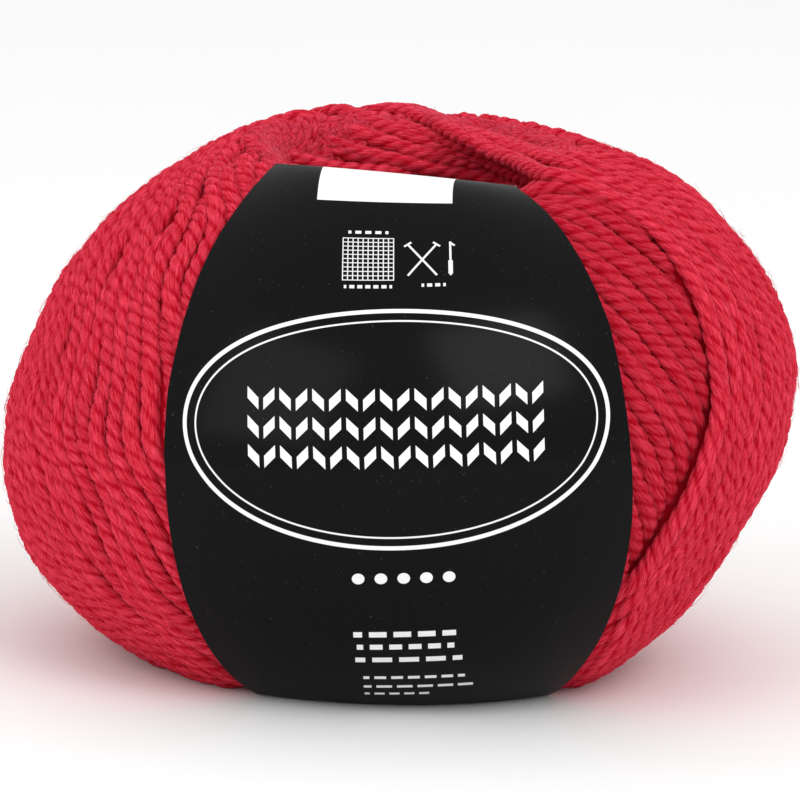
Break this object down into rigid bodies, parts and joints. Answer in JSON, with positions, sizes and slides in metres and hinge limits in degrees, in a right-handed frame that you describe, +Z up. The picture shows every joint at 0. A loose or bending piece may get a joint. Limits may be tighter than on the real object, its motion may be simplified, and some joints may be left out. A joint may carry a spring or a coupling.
{
  "type": "ball of yarn with a paper band",
  "caption": "Machine-wound ring-shaped ball of thick plied red yarn with an open centre hole, held by a black die-cut card band around its front.",
  "frame": {"origin": "on the floor under the middle of the ball", "axes": "+Z up along the centre hole, -Y towards the front with the band, +X to the right seen from the front"},
  "size_m": [0.1324, 0.1304, 0.0903],
  "materials": {
    "yarn": "soft, matt, slightly fuzzy plied yarn",
    "card": "smooth satin coated card with a plain white print"
  },
  "bodies": {
    "root": {"yarn_ball": "yarn", "paper_band": "card"}
  },
  "joints": []
}
